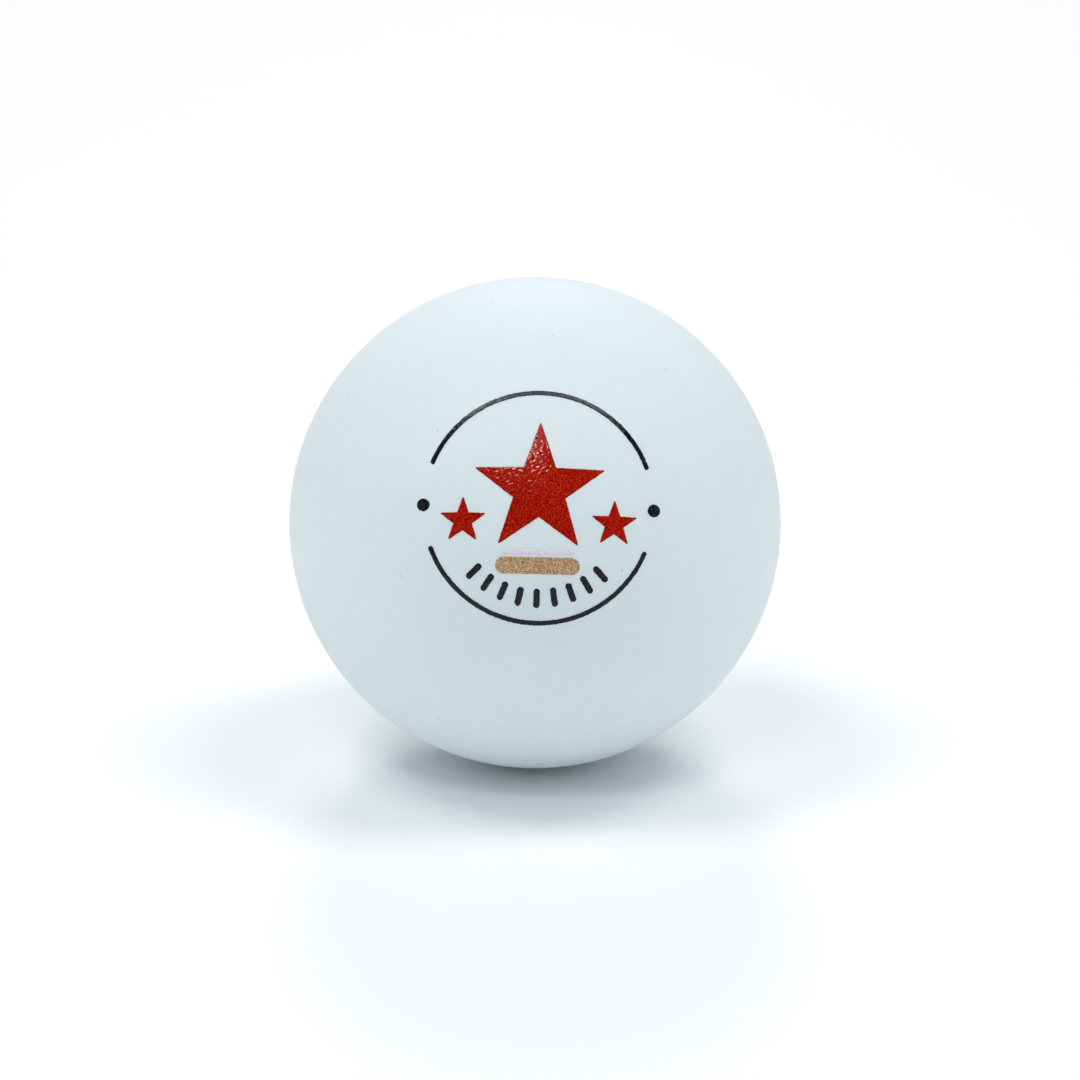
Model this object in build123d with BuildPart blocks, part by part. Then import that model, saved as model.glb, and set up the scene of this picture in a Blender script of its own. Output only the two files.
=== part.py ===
from build123d import *
import os
from math import cos, radians, sin, sqrt

# A 40 mm plastic table tennis ball: two thin half shells that meet in a stepped lap joint, the
# cement that fills the joint, and a printed mark of four ink films on the front half shell.
# The frame has its origin at the centre of the ball, +Z up as the ball lies, and the printed side
# facing -Y. The pole axis runs from the centre out through the middle of the print, and the seam
# is the great circle square to it.

# Shells
outer_radius = 20.0
wall = 0.493
inner_radius = outer_radius - wall

# How the ball lies
pole_tilt = 21.5
print_roll = 1.8

# Lap joint, with heights measured along the pole axis from the outer seam
cement_film = 0.05
lap_length = 0.8
rim_break = 0.02
bead_reach = 0.7
bead_height = 0.3

# Printed mark, drawn square to the pole axis with its middle at the pole
ink_thickness = 0.03
ring_radius = 9.0
ring_line = 0.36
ring_gap_angle = 44.0
dot_radius = 0.5
tick_count = 9
tick_length = 1.5
tick_width = 0.5
tick_middle_radius = 7.1
tick_spread = 88.0
big_star_radius = 5.2
big_star_height = 1.3
small_star_radius = 1.75
small_star_offset = 5.9
small_star_height = -1.2
star_waist = 0.40
star_corner = 0.10
bar_length = 6.6
bar_width = 1.3
bar_height = -4.6
white_line_length = 5.6
white_line_width = 0.36
white_line_height = -3.55

pole_direction = Vector(0, -cos(radians(pole_tilt)), sin(radians(pole_tilt)))
upright_plane = Plane(origin=(0, 0, 0), x_dir=(1, 0, 0), z_dir=pole_direction)
print_plane = upright_plane.rotated((0, 0, -print_roll))
section_plane = Plane(origin=(0, 0, 0), x_dir=upright_plane.x_dir, z_dir=-upright_plane.y_dir)
pole_axis = Axis((0, 0, 0), pole_direction)


def on_sphere(radius, height):
    """The section point of a sphere of this radius at this height along the pole axis."""
    return (sqrt(radius**2 - height**2), height)


def sphere_arc(radius, start_height, end_height):
    """The section arc of a sphere about the ball's centre, between two heights."""
    middle_height = (start_height + end_height) / 2
    ThreePointArc(
        on_sphere(radius, start_height),
        on_sphere(radius, middle_height),
        on_sphere(radius, end_height),
    )


def is_full_circle(edge):
    """True for the circles about the pole axis, false for the arcs that run through the pole."""
    return edge.geom_type == GeomType.CIRCLE and edge.is_closed


# The joint's levels. The front shell's tongue lies inside the rear shell's lip, with the cement
# film between them, and the outer seam gap is one film wide about the equator.
middle_radius = outer_radius - wall / 2
tongue_radius = middle_radius - cement_film / 2
lip_radius = middle_radius + cement_film / 2
seam_front = cement_film / 2
seam_rear = -cement_film / 2
tongue_end = -lap_length
shoulder = -lap_length - cement_film

# Front half shell: the printed half, ending in the inner tongue
with BuildPart() as front_half_shell:
    with BuildSketch(section_plane):
        with BuildLine():
            sphere_arc(outer_radius, outer_radius, seam_front)
            Line(on_sphere(outer_radius, seam_front), on_sphere(tongue_radius, seam_front))
            sphere_arc(tongue_radius, seam_front, tongue_end)
            Line(on_sphere(tongue_radius, tongue_end), on_sphere(inner_radius, tongue_end))
            sphere_arc(inner_radius, tongue_end, inner_radius)
            Line((0, inner_radius), (0, outer_radius))
        make_face()
    revolve(axis=pole_axis)
    front_circles = front_half_shell.edges().filter_by(is_full_circle)
    front_rim = front_circles.sort_by(SortBy.RADIUS)[-1]
    chamfer(front_rim, length=rim_break)
front_half_shell.part.label = "front_half_shell"

# Rear half shell: the plain half, ending in the outer lip
with BuildPart() as rear_half_shell:
    with BuildSketch(section_plane):
        with BuildLine():
            sphere_arc(outer_radius, -outer_radius, seam_rear)
            Line(on_sphere(outer_radius, seam_rear), on_sphere(lip_radius, seam_rear))
            sphere_arc(lip_radius, seam_rear, shoulder)
            Line(on_sphere(lip_radius, shoulder), on_sphere(inner_radius, shoulder))
            sphere_arc(inner_radius, shoulder, -inner_radius)
            Line((0, -inner_radius), (0, -outer_radius))
        make_face()
    revolve(axis=pole_axis)
    rear_circles = rear_half_shell.edges().filter_by(is_full_circle)
    rear_rim = rear_circles.sort_by(SortBy.RADIUS)[-1]
    chamfer(rear_rim, length=rim_break)
rear_half_shell.part.label = "rear_half_shell"

# Cement: fills the stepped gap up to the broken rims, and stands inside as a low bead
bead_front = tongue_end + bead_reach
bead_rear = shoulder - bead_reach
bead_middle = (bead_front + bead_rear) / 2
cement_radius = outer_radius - rim_break
with BuildPart() as seam_cement:
    with BuildSketch(section_plane):
        with BuildLine():
            Line(on_sphere(cement_radius, seam_rear), on_sphere(cement_radius, seam_front))
            Line(on_sphere(cement_radius, seam_front), on_sphere(tongue_radius, seam_front))
            sphere_arc(tongue_radius, seam_front, tongue_end)
            Line(on_sphere(tongue_radius, tongue_end), on_sphere(inner_radius, tongue_end))
            sphere_arc(inner_radius, tongue_end, bead_front)
            ThreePointArc(
                on_sphere(inner_radius, bead_front),
                on_sphere(inner_radius - bead_height, bead_middle),
                on_sphere(inner_radius, bead_rear),
            )
            sphere_arc(inner_radius, bead_rear, shoulder)
            Line(on_sphere(inner_radius, shoulder), on_sphere(lip_radius, shoulder))
            sphere_arc(lip_radius, shoulder, seam_rear)
            Line(on_sphere(lip_radius, seam_rear), on_sphere(cement_radius, seam_rear))
        make_face()
    revolve(axis=pole_axis)
seam_cement.part.label = "seam_cement"

# The layer that every ink film lies in, on the shell's outer face
with BuildPart() as ink_layer:
    Sphere(outer_radius + ink_thickness)
    Sphere(outer_radius, mode=Mode.SUBTRACT)


def star_outline(star_radius):
    """The corners of a five-pointed star about the sketch location, one point up."""
    corners = []
    for corner in range(10):
        reach = star_radius if corner % 2 == 0 else star_radius * star_waist
        angle = radians(90 + 36 * corner)
        corners.append((reach * cos(angle), reach * sin(angle)))
    return corners


def star(star_radius):
    """A five-pointed star with slightly rounded corners, about the sketch location."""
    with BuildSketch(mode=Mode.PRIVATE) as outline:
        with BuildLine():
            Polyline(*star_outline(star_radius), close=True)
        make_face()
        fillet(outline.vertices(), radius=star_corner)
    add(outline.sketch)


# Red film: one large star between two small ones
with BuildPart() as print_red_stars:
    with BuildSketch(print_plane):
        with Locations((0, big_star_height)):
            star(big_star_radius)
        with Locations(
            (-small_star_offset, small_star_height), (small_star_offset, small_star_height)
        ):
            star(small_star_radius)
    extrude(amount=outer_radius + 1)
    add(ink_layer.part, mode=Mode.INTERSECT)
print_red_stars.part.label = "print_red_stars"

# Dark film: an upper and a lower ring arc, a dot in each gap between them, and a row of ticks
arc_angle = 180 - ring_gap_angle
with BuildPart() as print_dark_marks:
    with BuildSketch(print_plane):
        for arc_start in (ring_gap_angle / 2, 180 + ring_gap_angle / 2):
            SlotArc(CenterArc((0, 0), ring_radius, arc_start, arc_angle, mode=Mode.PRIVATE), ring_line)
        with Locations((-ring_radius, 0), (ring_radius, 0)):
            Circle(dot_radius)
        with PolarLocations(tick_middle_radius, tick_count, -90 - tick_spread / 2, tick_spread):
            SlotOverall(tick_length, tick_width)
    extrude(amount=outer_radius + 1)
    add(ink_layer.part, mode=Mode.INTERSECT)
print_dark_marks.part.label = "print_dark_marks"

# Tan film: a bar with round ends
with BuildPart() as print_tan_bar:
    with BuildSketch(print_plane):
        with Locations((0, bar_height)):
            SlotOverall(bar_length, bar_width)
    extrude(amount=outer_radius + 1)
    add(ink_layer.part, mode=Mode.INTERSECT)
print_tan_bar.part.label = "print_tan_bar"

# White film: a thin line over the bar
with BuildPart() as print_white_line:
    with BuildSketch(print_plane):
        with Locations((0, white_line_height)):
            SlotOverall(white_line_length, white_line_width)
    extrude(amount=outer_radius + 1)
    add(ink_layer.part, mode=Mode.INTERSECT)
print_white_line.part.label = "print_white_line"

os.makedirs("parts", exist_ok=True)
for piece in (
    front_half_shell.part,
    rear_half_shell.part,
    seam_cement.part,
    print_red_stars.part,
    print_dark_marks.part,
    print_tan_bar.part,
    print_white_line.part,
):
    export_step(piece, f"parts/{piece.label}.step")
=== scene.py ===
import math

import bpy
import numpy as np
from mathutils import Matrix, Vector


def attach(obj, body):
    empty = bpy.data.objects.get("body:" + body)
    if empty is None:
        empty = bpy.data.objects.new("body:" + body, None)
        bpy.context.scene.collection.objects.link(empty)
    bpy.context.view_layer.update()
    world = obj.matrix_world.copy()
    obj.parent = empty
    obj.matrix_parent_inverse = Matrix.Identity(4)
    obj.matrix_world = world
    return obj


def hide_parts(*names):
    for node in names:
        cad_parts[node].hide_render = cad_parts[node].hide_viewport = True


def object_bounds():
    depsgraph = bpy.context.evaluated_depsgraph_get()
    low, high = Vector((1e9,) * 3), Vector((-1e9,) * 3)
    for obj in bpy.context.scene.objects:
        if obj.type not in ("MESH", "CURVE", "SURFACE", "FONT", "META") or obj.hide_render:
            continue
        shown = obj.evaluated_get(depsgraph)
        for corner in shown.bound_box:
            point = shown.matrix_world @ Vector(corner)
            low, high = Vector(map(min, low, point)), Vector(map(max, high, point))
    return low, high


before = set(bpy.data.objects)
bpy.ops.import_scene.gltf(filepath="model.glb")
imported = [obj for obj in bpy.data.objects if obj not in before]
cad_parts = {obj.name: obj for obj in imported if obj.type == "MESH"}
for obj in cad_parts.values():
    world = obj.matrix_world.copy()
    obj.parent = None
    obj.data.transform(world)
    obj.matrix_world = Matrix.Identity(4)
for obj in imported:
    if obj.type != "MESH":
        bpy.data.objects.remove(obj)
cad_low, cad_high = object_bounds()

# A seamed table tennis ball on a pale floor. Lengths are in metres, in the CAD frame: the origin is
# the centre of the ball, +Z is up, and the print faces -Y and a little up.

MM = 0.001
BALL_RADIUS = (cad_high[0] - cad_low[0]) / 2

# How the ball lies, as in the CAD
POLE_TILT = math.radians(21.5)
PRINT_ROLL = math.radians(1.8)

# Shells and their lap joint, with heights measured along the pole axis from the outer seam. The broken
# rim is rounded in the steps of RIM_TURNS, in degrees.
WALL = 0.493 * MM
CEMENT_FILM = 0.05 * MM
LAP_LENGTH = 0.8 * MM
RIM_BREAK = 0.02 * MM
RIM_TURNS = (0, 30, 60, 90)
SKIN_STEP = 0.02 * MM
BEAD_STEPS = 12
BEAD_REACH = 0.7 * MM
BEAD_HEIGHT = 0.3 * MM

# How far the moulded surface is from a true sphere
SKIN_DROP = 0.004 * MM
SWELL_HEIGHT = 0.002 * MM
RIPPLE_HEIGHT = 0.0004 * MM

# Printed mark, drawn square to the pole axis with its middle at the pole
INK_THICKNESS = 0.028 * MM
INK_SINK = 0.012 * MM
RING_RADIUS = 9.0 * MM
RING_LINE = 0.36 * MM
RING_GAP_ANGLE = math.radians(44)
DOT_RADIUS = 0.5 * MM
TICK_COUNT = 9
TICK_LENGTH = 1.5 * MM
TICK_WIDTH = 0.5 * MM
TICK_MIDDLE_RADIUS = 7.1 * MM
TICK_SPREAD = math.radians(88)
BIG_STAR_RADIUS = 5.2 * MM
BIG_STAR_HEIGHT = 1.3 * MM
SMALL_STAR_RADIUS = 1.75 * MM
SMALL_STAR_OFFSET = 5.9 * MM
SMALL_STAR_HEIGHT = -1.2 * MM
STAR_WAIST = 0.40
STAR_CORNER = 0.06 * MM
BAR_LENGTH = 6.6 * MM
BAR_WIDTH = 1.3 * MM
BAR_HEIGHT = -4.6 * MM
WHITE_LINE_LENGTH = 5.6 * MM
WHITE_LINE_WIDTH = 0.36 * MM
WHITE_LINE_HEIGHT = -3.55 * MM

# The corners of the print plane's areas in which the star and dark films are looked for
STAR_FILM_LOW = (-8 * MM, -3.4 * MM)
STAR_FILM_HIGH = (8 * MM, 6.8 * MM)
DARK_FILM_REACH = 9.8 * MM

# The ink's face: its lift is a share of the thickness, from the rim's up to a pebble's top
EDGE_ROUGHNESS = 0.014 * MM
DARK_EDGE_ROUGHNESS = 0.018 * MM
RIM_LIFT = 0.3
FACE_LIFT = 0.36
SHOULDER_WIDTH = 0.10 * MM
PEBBLE_RELIEF = 1.35
FLOW_RELIEF = 0.1

# Fine hair marks on the front shell: circle centre and radius, then the sphere that keeps part of it
HAIR_MARKS = [
    ((-4.2 * MM, -2.7 * MM, 19.4 * MM), 0.85 * MM, (-3.5 * MM, -3.2 * MM, 19.3 * MM), 0.95 * MM),
    ((10.6 * MM, -7.9 * MM, 15.0 * MM), 0.45 * MM, (10.3 * MM, -7.9 * MM, 15.2 * MM), 0.40 * MM),
]

# How far off its circle a mark begins to fade, and where it is gone
HAIR_MARK_HALF_WIDTH = (0.02 * MM, 0.06 * MM)
HAIR_MARK_STRENGTH = 0.22

# Dark specks, one at most in each cell of a cell pattern. A speck fades out between the two distances of
# SPECK_EDGE, in cells, and only cells whose random number is above SPECK_PICK, about half, have one.
SPECK_CELL = 2.4 * MM
SPECK_EDGE = (0.020, 0.050)
SPECK_PICK = (0.50, 0.52)
SPECK_STRENGTH = 0.5

# Colours, as linear red, green and blue
PLASTIC_DEEP = (0.728, 0.818, 0.818)
PLASTIC_PALE = (0.755, 0.838, 0.838)
PLASTIC_MOTTLE = (0.703, 0.791, 0.794)
SPECK_COLOUR = (0.22, 0.24, 0.27)
HAIR_MARK_COLOUR = (0.25, 0.30, 0.33)
CEMENT_DEEP = (0.80, 0.83, 0.83)
CEMENT_PALE = (0.86, 0.87, 0.86)
FLOOR_DEEP = (0.945, 0.945, 0.945)
FLOOR_PALE = (0.955, 0.955, 0.955)

# Each ink's ground, dark grain and pale grain
INK_COLOURS = {
    "red_ink": ((0.375, 0.006, 0.001), (0.175, 0.001, 0.0005), (0.57, 0.034, 0.008)),
    "dark_ink": ((0.007, 0.008, 0.011), (0.002, 0.003, 0.004), (0.027, 0.029, 0.035)),
    "tan_ink": ((0.47, 0.285, 0.145), (0.22, 0.125, 0.052), (0.74, 0.52, 0.305)),
    "white_ink": ((0.77, 0.70, 0.77), (0.65, 0.58, 0.67), (0.84, 0.81, 0.85)),
}
INK_GRAIN = 0.115 * MM
INK_GLOSS = 0.12
INK_SPECULAR = 0.2

# Mesh fineness
SHELL_CELLS = 200
INK_CELL = 0.04 * MM

FLOOR_REACH = 3.0

# Camera
CAMERA_DISTANCE = 0.42
CAMERA_LENS_MM = 171.8
CAMERA_SENSOR_MM = 36
CAMERA_ELEVATION = math.radians(18)
CAMERA_AZIMUTH = math.radians(-1)
AIM_RIGHT = 0.40 * MM
AIM_DOWN = 1.41 * MM

# Light
LIGHT_DISTANCE = 0.9
KEY_COLOUR = (1.0, 0.935, 0.915)
FILL_COLOUR = (0.76, 0.90, 1.0)
FILL_STRENGTH = 0.50

# Name, azimuth, elevation, half width and half height in degrees, watts, colour, in reflections alone
LIGHTS = [
    ("back_box", 180, 32, 8, 8, 1.6, KEY_COLOUR, False),
    ("left_box", -80, 66, 9, 11, 2.05, KEY_COLOUR, False),
    ("right_box", 86, 66, 9, 12, 2.2, KEY_COLOUR, False),
    ("left_panel", -84, 18, 22, 12, 0.78, KEY_COLOUR, False),
    ("right_panel", 84, 18, 22, 12, 1.0, KEY_COLOUR, False),
    ("top_strip", -15, 51, 9, 1.8, 0.85, KEY_COLOUR, False),
    ("top_strip_gloss", -16, 51.5, 9, 1.8, 2.0, KEY_COLOUR, True),
    ("top_card", -3, 77, 33, 15, 7.2, FILL_COLOUR, True),
]

pole = np.array([0, -math.cos(POLE_TILT), math.sin(POLE_TILT)])
upright_right = np.array([1.0, 0, 0])
upright_up = np.cross(pole, upright_right)
print_right = math.cos(PRINT_ROLL) * upright_right - math.sin(PRINT_ROLL) * upright_up
print_up = math.sin(PRINT_ROLL) * upright_right + math.cos(PRINT_ROLL) * upright_up

middle_radius = BALL_RADIUS - WALL / 2
tongue_radius = middle_radius - CEMENT_FILM / 2
lip_radius = middle_radius + CEMENT_FILM / 2
inner_radius = BALL_RADIUS - WALL
half_film = CEMENT_FILM / 2


# ---------------------------------------------------------------- waves and meshes


def waves(seed, shortest, longest, count):
    """A repeatable smooth field over points in space, about -1 to 1, between two wavelengths."""
    source = np.random.RandomState(seed)
    directions = source.normal(size=(count, 3))
    directions /= np.linalg.norm(directions, axis=1)[:, None]
    lengths = shortest * (longest / shortest) ** source.random_sample(count)
    phases = source.random_sample(count) * 2 * math.pi
    vectors = directions * (2 * math.pi / lengths)[:, None]

    def field(points):
        total = np.zeros(len(points))
        for vector, phase in zip(vectors, phases):
            total += np.sin(points @ vector + phase)
        return total * math.sqrt(0.5 / count)

    return field


shell_swell = waves(seed=11, shortest=9 * MM, longest=40 * MM, count=14)
shell_ripple = waves(seed=12, shortest=1.4 * MM, longest=4 * MM, count=20)


def surface_radius(directions):
    """The ball's outer radius along unit directions: round to a few microns, as moulded."""
    points = directions * BALL_RADIUS
    wander = SWELL_HEIGHT * shell_swell(points)
    return BALL_RADIUS - SKIN_DROP + wander + RIPPLE_HEIGHT * shell_ripple(points)


def new_piece(name, points, faces, node, material):
    """A smooth-shaded mesh piece that stands for a CAD node."""
    mesh = bpy.data.meshes.new(name)
    mesh.from_pydata(points.tolist(), [], faces.tolist())
    mesh.update()
    mesh.shade_smooth()
    piece = bpy.data.objects.new(name, mesh)
    bpy.context.scene.collection.objects.link(piece)
    mesh.materials.append(material)
    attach(piece, "root")
    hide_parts(node)


def ring_of(radius, height, angles, side):
    """A ring of points about the pole axis, on the front (side 1) or rear (side -1)."""
    flat = np.outer(np.cos(angles), upright_right) + np.outer(np.sin(angles), upright_up)
    return flat * radius + side * height * pole


def disc_grid(cells):
    """A square grid carried onto the unit disc with little stretch, as radius and angle arrays."""
    line = np.linspace(-1, 1, cells + 1)
    across, along = np.meshgrid(line, line, indexing="ij")
    wide = np.abs(across) > np.abs(along)
    reach = np.where(wide, across, along)
    other = np.where(wide, along, across)
    turn = np.divide(other, reach, out=np.zeros_like(reach), where=reach != 0) * (math.pi / 4)
    angle = np.where(wide, turn, math.pi / 2 - turn)
    return np.abs(reach), angle + np.where(reach < 0, math.pi, 0)


def grid_faces(cells):
    """The grid's cells as quads."""
    row = np.arange(cells)
    first = (row[:, None] * (cells + 1) + row[None, :]).ravel()
    return np.stack([first, first + cells + 1, first + cells + 2, first + 1], axis=1)


def grid_edge(cells):
    """The indices round the grid's edge, in order of angle from one corner."""
    step = np.arange(cells)
    side = cells + 1
    return np.concatenate(
        [
            cells * side + step,
            (cells - step) * side + cells,
            cells - step,
            step * side,
        ]
    )


def strip_faces(lower, upper):
    """Quads between two closed loops of the same length."""
    return np.stack([lower, np.roll(lower, -1), np.roll(upper, -1), upper], axis=1)


def half_shell(name, side, rim, inner_height, outer_height, material):
    """A closed half shell: outer and inner skins joined by rings of (radius, height) round the rim.

    Heights grow towards the shell's own pole.
    """
    reach, angle = disc_grid(SHELL_CELLS)
    edge = grid_edge(SHELL_CELLS)

    def skin(radius, edge_height):
        """Unit directions over the half ball, down to this height on a sphere of this radius."""
        polar = reach * math.acos(edge_height / radius)
        flat = np.sin(polar)
        return (
            (flat * np.cos(angle)).ravel()[:, None] * upright_right
            + (flat * np.sin(angle)).ravel()[:, None] * upright_up
            + np.cos(polar).ravel()[:, None] * pole * side
        )

    outer = skin(BALL_RADIUS, outer_height)
    outer_points = outer * surface_radius(outer)[:, None]
    inner_points = skin(inner_radius, inner_height) * inner_radius
    faces = grid_faces(SHELL_CELLS)
    loops = [edge]
    points = [outer_points]
    placed = len(outer_points)
    for radius, height in rim:
        points.append(ring_of(radius, height, angle.ravel()[edge], side))
        loops.append(placed + np.arange(len(edge)))
        placed += len(edge)
    points.append(inner_points)
    loops.append(placed + edge)
    skins = [faces, faces[:, ::-1] + placed]
    bands = [strip_faces(near, far)[:, ::-1] for near, far in zip(loops, loops[1:])]
    every_face = np.concatenate(skins + bands)
    if side < 0:
        every_face = every_face[:, ::-1]
    new_piece(name, np.concatenate(points), every_face, name, material)


# ---------------------------------------------------------------- outlines of the print
# Each outline is a function of points in the print plane that gives the distance outside it.


def slot_outline(start, end, width):
    """A straight slot with round ends, centred on the run from start to end."""
    start, end = np.array(start), np.array(end)
    run = end - start

    def distance(points):
        along = np.clip((points - start) @ run / (run @ run), 0, 1)
        return np.linalg.norm(points - start - along[:, None] * run, axis=1) - width / 2

    return distance


def dot_outline(centre, radius):
    return lambda points: np.linalg.norm(points - np.array(centre), axis=1) - radius


def arc_outline(radius, middle_angle, half_angle, width):
    """Part of a ring about the pole, with round ends."""

    def distance(points):
        angles = np.arctan2(points[:, 1], points[:, 0]) - middle_angle
        angles = (angles + math.pi) % (2 * math.pi) - math.pi
        held = np.clip(angles, -half_angle, half_angle) + middle_angle
        nearest = np.stack([np.cos(held), np.sin(held)], axis=1) * radius
        return np.linalg.norm(points - nearest, axis=1) - width / 2

    return distance


def star_outline(centre, radius):
    """A five-pointed star with one point up and slightly rounded corners."""
    turns = math.pi / 2 + np.arange(10) * math.pi / 5
    reach = np.where(np.arange(10) % 2 == 0, radius, radius * STAR_WAIST)
    corners = np.stack([np.cos(turns) * reach, np.sin(turns) * reach], axis=1) + np.array(centre)

    def distance(points):
        nearest = np.full(len(points), np.inf)
        inside = np.zeros(len(points), bool)
        for start, end in zip(corners, np.roll(corners, -1, axis=0)):
            run = end - start
            from_start = points - start
            along = np.clip(from_start @ run / (run @ run), 0, 1)
            nearest = np.minimum(nearest, np.linalg.norm(from_start - along[:, None] * run, axis=1))
            crosses = (start[1] > points[:, 1]) != (end[1] > points[:, 1])
            with np.errstate(divide="ignore", invalid="ignore"):
                at = start[0] + (points[:, 1] - start[1]) * run[0] / run[1]
            inside ^= crosses & (points[:, 0] < at)
        return np.where(inside, -nearest, nearest) - STAR_CORNER

    return distance


def any_of(outlines):
    return lambda points: np.min([outline(points) for outline in outlines], axis=0)


# ---------------------------------------------------------------- ink films

edge_wobble = waves(seed=21, shortest=0.13 * MM, longest=0.5 * MM, count=24)
ink_pebble = waves(seed=22, shortest=0.24 * MM, longest=0.56 * MM, count=48)
ink_flow = waves(seed=23, shortest=0.5 * MM, longest=1.6 * MM, count=16)


def on_ball(flat_points, lift):
    """Points of the print plane carried onto the ball along the pole axis, lifted off its surface."""
    depth = np.sqrt(BALL_RADIUS**2 - (flat_points**2).sum(axis=1))
    directions = (
        flat_points[:, :1] * print_right + flat_points[:, 1:] * print_up + depth[:, None] * pole
    ) / BALL_RADIUS
    return directions * (surface_radius(directions) + lift)[:, None]


def ink_film(name, outlines, low, high, ink, edge_roughness=EDGE_ROUGHNESS):
    """A closed film of ink on the ball, inside the outlines, with a pebbled face and soft edges.

    The film is made of the cells of a grid from corner low to corner high whose middles are inside, and
    the points along its rim are then moved onto the outline.
    """
    outline = any_of(outlines)

    def distance(points):
        spatial = np.column_stack([points, np.zeros(len(points))])
        return outline(points) + edge_roughness * edge_wobble(spatial)

    counts = [int(math.ceil((high[i] - low[i]) / INK_CELL)) for i in (0, 1)]
    across = low[0] + np.arange(counts[0] + 1) * INK_CELL
    along = low[1] + np.arange(counts[1] + 1) * INK_CELL
    nodes = np.stack(np.meshgrid(across, along, indexing="ij"), axis=-1).reshape(-1, 2)
    middles = np.stack(
        np.meshgrid(across[:-1] + INK_CELL / 2, along[:-1] + INK_CELL / 2, indexing="ij"), axis=-1
    ).reshape(-1, 2)
    filled = np.zeros((counts[0] + 2, counts[1] + 2), bool)
    filled[1:-1, 1:-1] = (distance(middles) < 0).reshape(counts)
    first, second = np.nonzero(filled[1:-1, 1:-1])
    row = counts[1] + 1
    start = first * row + second
    cells = np.stack([start, start + row, start + row + 1, start + 1], axis=1)
    side_steps = ((0, -1, 0, 1), (1, 0, 1, 2), (0, 1, 2, 3), (-1, 0, 3, 0))
    walls = []
    for step_across, step_along, corner_a, corner_b in side_steps:
        bare = ~filled[first + 1 + step_across, second + 1 + step_along]
        walls.append(cells[bare][:, [corner_a, corner_b]])
    walls = np.concatenate(walls)
    used, packed = np.unique(cells, return_inverse=True)
    cells = packed.reshape(cells.shape)
    walls = np.searchsorted(used, walls)
    flat = nodes[used]
    rim = np.zeros(len(used), bool)
    rim[np.unique(walls)] = True

    # Two short moves take the rim's points onto the outline without folding a cell.
    probe = INK_CELL / 4
    least_steep = 0.3
    longest_move = 0.7 * INK_CELL
    for _ in range(2):
        edge_points = flat[rim]
        value = distance(edge_points)
        slope = np.stack(
            [
                distance(edge_points + (probe, 0)) - distance(edge_points - (probe, 0)),
                distance(edge_points + (0, probe)) - distance(edge_points - (0, probe)),
            ],
            axis=1,
        ) / (2 * probe)
        steep = np.maximum((slope**2).sum(axis=1), least_steep)
        move = -slope * (value / steep)[:, None]
        size = np.linalg.norm(move, axis=1)
        held = np.minimum(1, longest_move / np.maximum(size, 1e-12))
        flat[rim] = edge_points + move * held[:, None]

    spatial = np.column_stack([flat, np.zeros(len(flat))])
    depth = np.clip(-distance(flat) / SHOULDER_WIDTH, 0, 1)
    shoulder = np.sqrt(np.clip(1 - (1 - depth) ** 2, 0, 1))
    pebbles = np.tanh(PEBBLE_RELIEF * ink_pebble(spatial) + FLOW_RELIEF * ink_flow(spatial))
    lift = INK_THICKNESS * (RIM_LIFT + FACE_LIFT * shoulder * (1 + pebbles))
    lift[rim] = INK_THICKNESS * RIM_LIFT
    top = on_ball(flat, lift)
    bottom = on_ball(flat, np.full(len(flat), -INK_SINK))
    count = len(flat)
    faces = np.concatenate(
        [
            cells,
            cells[:, ::-1] + count,
            np.column_stack([walls[:, 1], walls[:, 0], walls[:, 0] + count, walls[:, 1] + count]),
        ]
    )
    new_piece(name, np.concatenate([top, bottom]), faces, name, inks[ink])


# ---------------------------------------------------------------- materials


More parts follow.
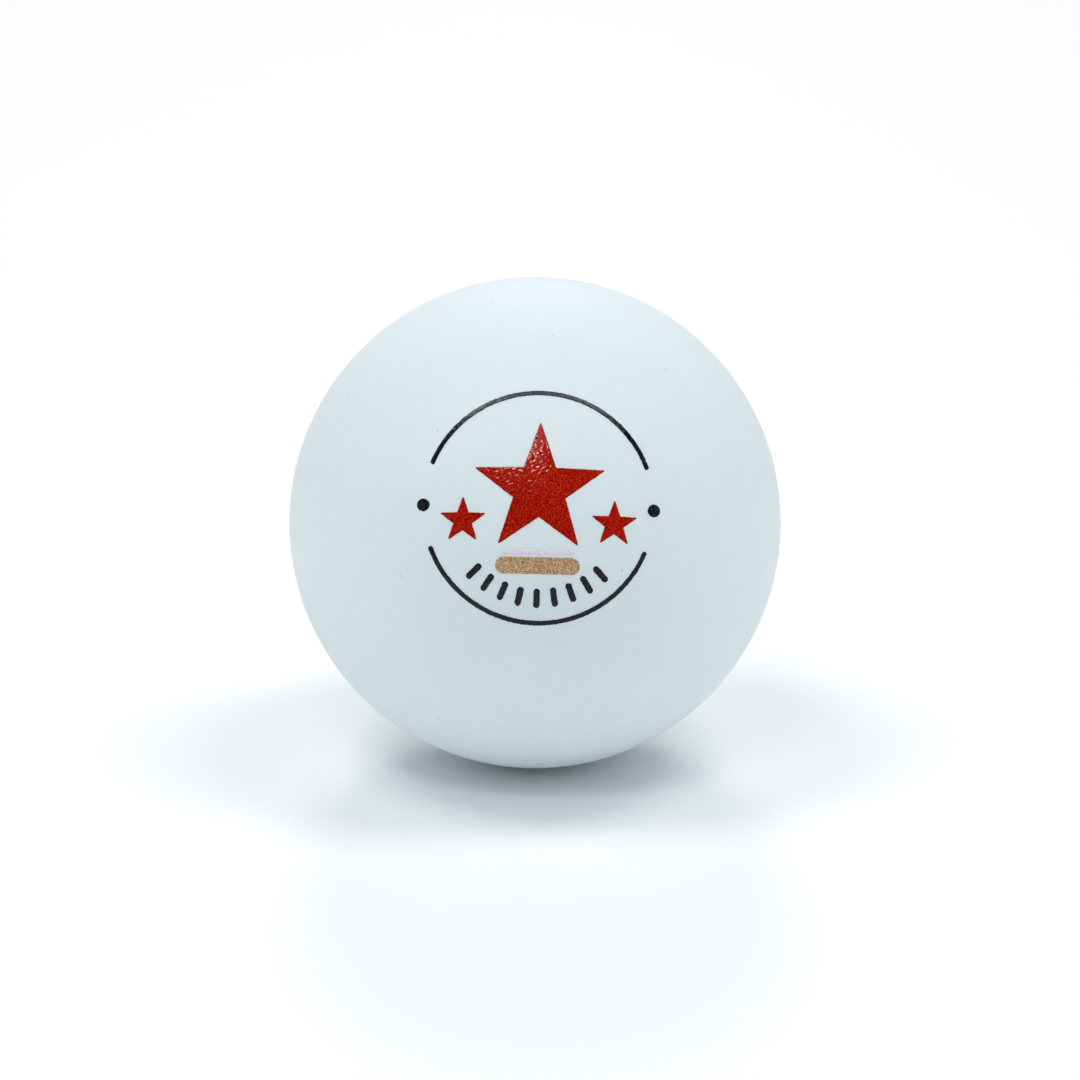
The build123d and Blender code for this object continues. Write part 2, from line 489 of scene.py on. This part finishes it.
class Nodes:
    """Short calls for building one material's node tree."""

    def __init__(self, name):
        self.material = bpy.data.materials.new(name)
        self.material.use_nodes = True
        self.tree = self.material.node_tree
        self.shader = self.tree.nodes["Principled BSDF"]
        self.place = self.new("ShaderNodeTexCoord").outputs["Object"]

    def new(self, kind, **settings):
        node = self.tree.nodes.new(kind)
        for key, value in settings.items():
            setattr(node, key, value)
        return node

    def link(self, source, target):
        self.tree.links.new(source, target)

    def feed(self, socket, value):
        """Link the value to the socket if it is an output, and set it there if it is a number."""
        if hasattr(value, "is_linked"):
            self.link(value, socket)
        else:
            socket.default_value = value

    def noise(self, size, detail=2.0, roughness=0.5, shift=0.0):
        """A noise whose blotches are about this many metres across; a shift picks another pattern."""
        node = self.new("ShaderNodeTexNoise", noise_dimensions="4D")
        node.inputs["W"].default_value = shift
        node.inputs["Scale"].default_value = 1 / size
        node.inputs["Detail"].default_value = detail
        node.inputs["Roughness"].default_value = roughness
        self.link(self.place, node.inputs["Vector"])
        return node.outputs["Fac"]

    def cells(self, size):
        """Cells about this many metres across, as a distance and a random colour."""
        node = self.new("ShaderNodeTexVoronoi")
        node.inputs["Scale"].default_value = 1 / size
        self.link(self.place, node.inputs["Vector"])
        return node.outputs["Distance"], node.outputs["Color"]

    def math(self, operation, first, second=0.0):
        node = self.new("ShaderNodeMath", operation=operation)
        self.feed(node.inputs[0], first)
        self.feed(node.inputs[1], second)
        return node.outputs[0]

    def ramp(self, value, low, high, to_low=0.0, to_high=1.0, smooth=True):
        """The value carried from the range low to high onto the range to_low to to_high, and held there."""
        node = self.new("ShaderNodeMapRange")
        node.interpolation_type = "SMOOTHSTEP" if smooth else "LINEAR"
        self.feed(node.inputs["Value"], value)
        node.inputs["From Min"].default_value = low
        node.inputs["From Max"].default_value = high
        node.inputs["To Min"].default_value = to_low
        node.inputs["To Max"].default_value = to_high
        return node.outputs["Result"]

    def mix(self, share, first, second):
        """The first colour where the share is 0 and the second where it is 1."""
        node = self.new("ShaderNodeMix", data_type="RGBA")
        self.feed(node.inputs["Factor"], share)
        for socket, value in ((node.inputs[6], first), (node.inputs[7], second)):
            self.feed(socket, (*value, 1.0) if isinstance(value, tuple) else value)
        return node.outputs[2]

    def distance(self, point):
        """The distance from a point of the ball's own frame."""
        node = self.new("ShaderNodeVectorMath", operation="DISTANCE")
        node.inputs[1].default_value = point
        self.link(self.place, node.inputs[0])
        return node.outputs["Value"]

    def red_of(self, colour):
        node = self.new("ShaderNodeSeparateColor")
        self.link(colour, node.inputs[0])
        return node.outputs["Red"]

    def bump(self, height, depth):
        """Relief of this depth in metres between heights 0 and 1."""
        node = self.new("ShaderNodeBump")
        node.inputs["Strength"].default_value = 1.0
        node.inputs["Distance"].default_value = depth
        self.link(height, node.inputs["Height"])
        return node.outputs["Normal"]


def hair_mark(n, centre, radius, kept_about, kept_radius):
    """1 on part of a fine circle round a centre: the part inside a second, kept sphere."""
    off_circle = n.math("ABSOLUTE", n.math("SUBTRACT", n.distance(centre), radius))
    on_circle = n.ramp(off_circle, *HAIR_MARK_HALF_WIDTH, 1.0, 0.0)
    kept = n.ramp(n.distance(kept_about), kept_radius * 0.8, kept_radius, 1.0, 0.0)
    return n.math("MULTIPLY", on_circle, kept)


def make_ball_plastic():
    """Matte white moulded plastic, slightly see-through, with faint mottling, specks and hair marks."""
    n = Nodes("ball_plastic")
    broad = n.noise(9 * MM, detail=3)
    fine = n.noise(1.1 * MM, detail=4)
    colour = n.mix(broad, PLASTIC_DEEP, PLASTIC_PALE)
    colour = n.mix(n.ramp(fine, 0.3, 0.7, 0.0, 0.25), colour, PLASTIC_MOTTLE)
    specks_at, specks_pick = n.cells(SPECK_CELL)
    speck = n.math(
        "MULTIPLY",
        n.ramp(specks_at, *SPECK_EDGE, 1.0, 0.0),
        n.ramp(n.red_of(specks_pick), *SPECK_PICK, smooth=False),
    )
    colour = n.mix(n.math("MULTIPLY", speck, SPECK_STRENGTH), colour, SPECK_COLOUR)
    for mark in HAIR_MARKS:
        faint = n.math("MULTIPLY", hair_mark(n, *mark), HAIR_MARK_STRENGTH)
        colour = n.mix(faint, colour, HAIR_MARK_COLOUR)
    n.link(colour, n.shader.inputs["Base Color"])
    rub = n.noise(3.2 * MM, detail=5, roughness=0.65)
    n.link(n.ramp(rub, 0.35, 0.75, 0.66, 0.56), n.shader.inputs["Roughness"])
    n.shader.inputs["Specular IOR Level"].default_value = 0.22
    grain = n.noise(0.16 * MM, detail=3, roughness=0.6)
    n.link(n.bump(grain, 0.0035 * MM), n.shader.inputs["Normal"])
    n.shader.inputs["Subsurface Weight"].default_value = 0.35
    n.shader.inputs["Subsurface Radius"].default_value = (1.0, 0.92, 0.85)
    n.shader.inputs["Subsurface Scale"].default_value = 0.7 * MM
    n.shader.inputs["IOR"].default_value = 1.46
    return n.material


def make_cement():
    """Dried solvent cement: a little glossier and more milky than the shells."""
    n = Nodes("cement")
    blotch = n.noise(1.5 * MM, detail=3)
    n.link(n.mix(blotch, CEMENT_DEEP, CEMENT_PALE), n.shader.inputs["Base Color"])
    n.link(n.ramp(n.noise(0.7 * MM), 0.3, 0.7, 0.22, 0.36), n.shader.inputs["Roughness"])
    n.link(n.bump(n.noise(0.4 * MM, detail=3), 0.01 * MM), n.shader.inputs["Normal"])
    return n.material


def make_ink(name, ground, dark_grain, pale_grain):
    """Cured ink laid as fine drops: a ground colour with darker and paler grains."""
    n = Nodes(name)
    drift = n.math("MULTIPLY", n.math("SUBTRACT", n.noise(1.4 * MM, detail=2), 0.5), 0.08)
    grain = n.math("ADD", n.noise(INK_GRAIN, detail=1), drift)
    colour = n.mix(n.ramp(grain, 0.34, 0.50, 0.9, 0.0), ground, dark_grain)
    colour = n.mix(n.ramp(grain, 0.50, 0.66, 0.0, 0.9), colour, pale_grain)
    n.link(colour, n.shader.inputs["Base Color"])
    patches = n.noise(0.35 * MM, detail=2, shift=3.1)
    n.link(n.ramp(patches, 0.3, 0.7, INK_GLOSS - 0.03, INK_GLOSS + 0.06), n.shader.inputs["Roughness"])
    n.link(n.bump(n.noise(0.09 * MM, detail=2), 0.004 * MM), n.shader.inputs["Normal"])
    n.shader.inputs["Specular IOR Level"].default_value = INK_SPECULAR
    return n.material


ball_plastic = make_ball_plastic()
cement = make_cement()
inks = {name: make_ink(name, *colours) for name, colours in INK_COLOURS.items()}


# ---------------------------------------------------------------- the ball


def ring_at(radius, height):
    """A ring of the sphere of this radius, as its distance from the pole axis and its height."""
    return (math.sqrt(radius**2 - height**2), height)


def rounded_rim(height):
    """Rings over a broken outer edge, from the skin down to the seam gap."""
    skin_radius = BALL_RADIUS - SKIN_DROP
    rings = [ring_at(skin_radius, height + RIM_BREAK * 2.0)]
    for turn in RIM_TURNS:
        back = RIM_BREAK * (1 - math.cos(math.radians(turn)))
        drop = RIM_BREAK * math.sin(math.radians(turn))
        rings.append(ring_at(skin_radius - back, height + RIM_BREAK - drop))
    return rings


front_rim = rounded_rim(half_film) + [
    ring_at(tongue_radius, half_film),
    ring_at(tongue_radius, -LAP_LENGTH / 2),
    ring_at(tongue_radius, -LAP_LENGTH),
    ring_at(inner_radius, -LAP_LENGTH),
]
rear_rim = rounded_rim(half_film) + [
    ring_at(lip_radius, half_film),
    ring_at(lip_radius, LAP_LENGTH / 2),
    ring_at(lip_radius, LAP_LENGTH + CEMENT_FILM),
    ring_at(inner_radius, LAP_LENGTH + CEMENT_FILM),
]
outer_skin_edge = half_film + RIM_BREAK * 4
front_skin_edge = -LAP_LENGTH + SKIN_STEP
rear_skin_edge = LAP_LENGTH + CEMENT_FILM + SKIN_STEP
half_shell("front_half_shell", 1, front_rim, front_skin_edge, outer_skin_edge, ball_plastic)
half_shell("rear_half_shell", -1, rear_rim, rear_skin_edge, outer_skin_edge, ball_plastic)


def seam_ring():
    """The cement: a stepped film between the shells with a low bead inside, turned about the pole."""
    shoulder = -LAP_LENGTH - CEMENT_FILM
    bead_middle = -LAP_LENGTH - CEMENT_FILM / 2
    section = [
        ring_at(BALL_RADIUS - RIM_BREAK, half_film),
        ring_at(tongue_radius, half_film),
        ring_at(tongue_radius, -LAP_LENGTH / 2),
        ring_at(tongue_radius, -LAP_LENGTH),
        ring_at(inner_radius, -LAP_LENGTH),
    ]
    for step in range(BEAD_STEPS + 1):
        lean = math.cos(math.pi * step / BEAD_STEPS)
        height = bead_middle + lean * (BEAD_REACH + half_film)
        section.append(ring_at(inner_radius - BEAD_HEIGHT * (1 - lean**2), height))
    section += [
        ring_at(inner_radius, shoulder),
        ring_at(lip_radius, shoulder),
        ring_at(lip_radius, -LAP_LENGTH / 2),
        ring_at(lip_radius, -half_film),
        ring_at(BALL_RADIUS - RIM_BREAK, -half_film),
    ]
    count = SHELL_CELLS * 4
    angles = np.arange(count) * (2 * math.pi / count)
    points = np.concatenate([ring_of(radius, height, angles, 1) for radius, height in section])
    loops = [np.arange(count) + i * count for i in range(len(section))]
    bands = [strip_faces(near, far) for near, far in zip(loops, loops[1:] + loops[:1])]
    faces = np.concatenate(bands)[:, ::-1]
    new_piece("seam_cement", points, faces, "seam_cement", cement)


seam_ring()

big_star = star_outline((0, BIG_STAR_HEIGHT), BIG_STAR_RADIUS)
small_stars = [
    star_outline((side * SMALL_STAR_OFFSET, SMALL_STAR_HEIGHT), SMALL_STAR_RADIUS) for side in (-1, 1)
]
ink_film("print_red_stars", [big_star, *small_stars], STAR_FILM_LOW, STAR_FILM_HIGH, "red_ink")

half_arc = (math.pi - RING_GAP_ANGLE) / 2
arc_middles = (math.pi / 2, -math.pi / 2)
dark_outlines = [arc_outline(RING_RADIUS, middle, half_arc, RING_LINE) for middle in arc_middles]
dark_outlines += [dot_outline((side * RING_RADIUS, 0), DOT_RADIUS) for side in (-1, 1)]
half_run = (TICK_LENGTH - TICK_WIDTH) / 2
for tick in range(TICK_COUNT):
    turn = -math.pi / 2 + TICK_SPREAD * (tick / (TICK_COUNT - 1) - 0.5)
    outward = np.array([math.cos(turn), math.sin(turn)])
    near = outward * (TICK_MIDDLE_RADIUS - half_run)
    far = outward * (TICK_MIDDLE_RADIUS + half_run)
    dark_outlines.append(slot_outline(near, far, TICK_WIDTH))
ink_film(
    "print_dark_marks",
    dark_outlines,
    (-DARK_FILM_REACH, -DARK_FILM_REACH),
    (DARK_FILM_REACH, DARK_FILM_REACH),
    "dark_ink",
    DARK_EDGE_ROUGHNESS,
)

half_bar = (BAR_LENGTH - BAR_WIDTH) / 2
ink_film(
    "print_tan_bar",
    [slot_outline((-half_bar, BAR_HEIGHT), (half_bar, BAR_HEIGHT), BAR_WIDTH)],
    (-BAR_LENGTH, BAR_HEIGHT - BAR_WIDTH),
    (BAR_LENGTH, BAR_HEIGHT + BAR_WIDTH),
    "tan_ink",
)

half_line = (WHITE_LINE_LENGTH - WHITE_LINE_WIDTH) / 2
ink_film(
    "print_white_line",
    [slot_outline((-half_line, WHITE_LINE_HEIGHT), (half_line, WHITE_LINE_HEIGHT), WHITE_LINE_WIDTH)],
    (-WHITE_LINE_LENGTH, WHITE_LINE_HEIGHT - WHITE_LINE_WIDTH),
    (WHITE_LINE_LENGTH, WHITE_LINE_HEIGHT + WHITE_LINE_WIDTH),
    "white_ink",
)


# ---------------------------------------------------------------- floor, light and camera


def make_floor():
    """A wide pale floor that the ball rests on."""
    mesh = bpy.data.meshes.new("floor")
    sides = ((-1, -1), (1, -1), (1, 1), (-1, 1))
    corners = [(across * FLOOR_REACH, along * FLOOR_REACH, -BALL_RADIUS) for across, along in sides]
    mesh.from_pydata(corners, [], [(0, 1, 2, 3)])
    floor = bpy.data.objects.new("floor", mesh)
    bpy.context.scene.collection.objects.link(floor)
    n = Nodes("pale_floor")
    shade = n.noise(60 * MM, detail=2)
    n.link(n.mix(shade, FLOOR_DEEP, FLOOR_PALE), n.shader.inputs["Base Color"])
    n.shader.inputs["Roughness"].default_value = 0.6
    mesh.materials.append(n.material)


def soft_light(name, azimuth, elevation, half_width, half_height, watts, colour, gloss_only):
    """A soft box aimed at the ball, its place and its half sizes as angles in degrees from the ball.

    Azimuth 0 is on the camera's side and 90 is to its right. A gloss_only box shows in reflections alone.
    """
    turn, rise = math.radians(azimuth), math.radians(elevation)
    place = Vector((math.sin(turn) * math.cos(rise), -math.cos(turn) * math.cos(rise), math.sin(rise)))
    data = bpy.data.lights.new(name, "AREA")
    data.shape = "RECTANGLE"
    data.size = 2 * LIGHT_DISTANCE * math.tan(math.radians(half_width))
    data.size_y = 2 * LIGHT_DISTANCE * math.tan(math.radians(half_height))
    data.energy = watts
    data.color = colour
    lamp = bpy.data.objects.new(name, data)
    lamp.location = place * LIGHT_DISTANCE
    lamp.rotation_euler = (-place).to_track_quat("-Z", "Y").to_euler()
    lamp.visible_diffuse = not gloss_only
    bpy.context.scene.collection.objects.link(lamp)


def make_world(colour, strength):
    """Even fill light from all round, kept out of reflections so that the inks stay deep."""
    world = bpy.data.worlds.new("studio")
    world.use_nodes = True
    back = world.node_tree.nodes["Background"]
    back.inputs["Color"].default_value = (*colour, 1)
    back.inputs["Strength"].default_value = strength
    world.cycles_visibility.glossy = False
    bpy.context.scene.world = world


def make_camera():
    """The photo's point of view: a long lens, a little above the ball and a degree to its left."""
    data = bpy.data.cameras.new("camera")
    data.lens = CAMERA_LENS_MM
    data.sensor_width = CAMERA_SENSOR_MM
    data.clip_start = 0.01
    data.clip_end = 20
    camera = bpy.data.objects.new("camera", data)
    away = Vector(
        (
            math.sin(CAMERA_AZIMUTH) * math.cos(CAMERA_ELEVATION),
            -math.cos(CAMERA_AZIMUTH) * math.cos(CAMERA_ELEVATION),
            math.sin(CAMERA_ELEVATION),
        )
    )
    camera.rotation_euler = (-away).to_track_quat("-Z", "Y").to_euler()
    turned = camera.rotation_euler.to_matrix()
    right, up = turned.col[0], turned.col[1]
    camera.location = away * CAMERA_DISTANCE + right * AIM_RIGHT - up * AIM_DOWN
    bpy.context.scene.collection.objects.link(camera)
    bpy.context.scene.camera = camera


make_floor()
make_world(FILL_COLOUR, FILL_STRENGTH)
for light in LIGHTS:
    soft_light(*light)
make_camera()
bpy.context.scene.view_settings.view_transform = "Standard"
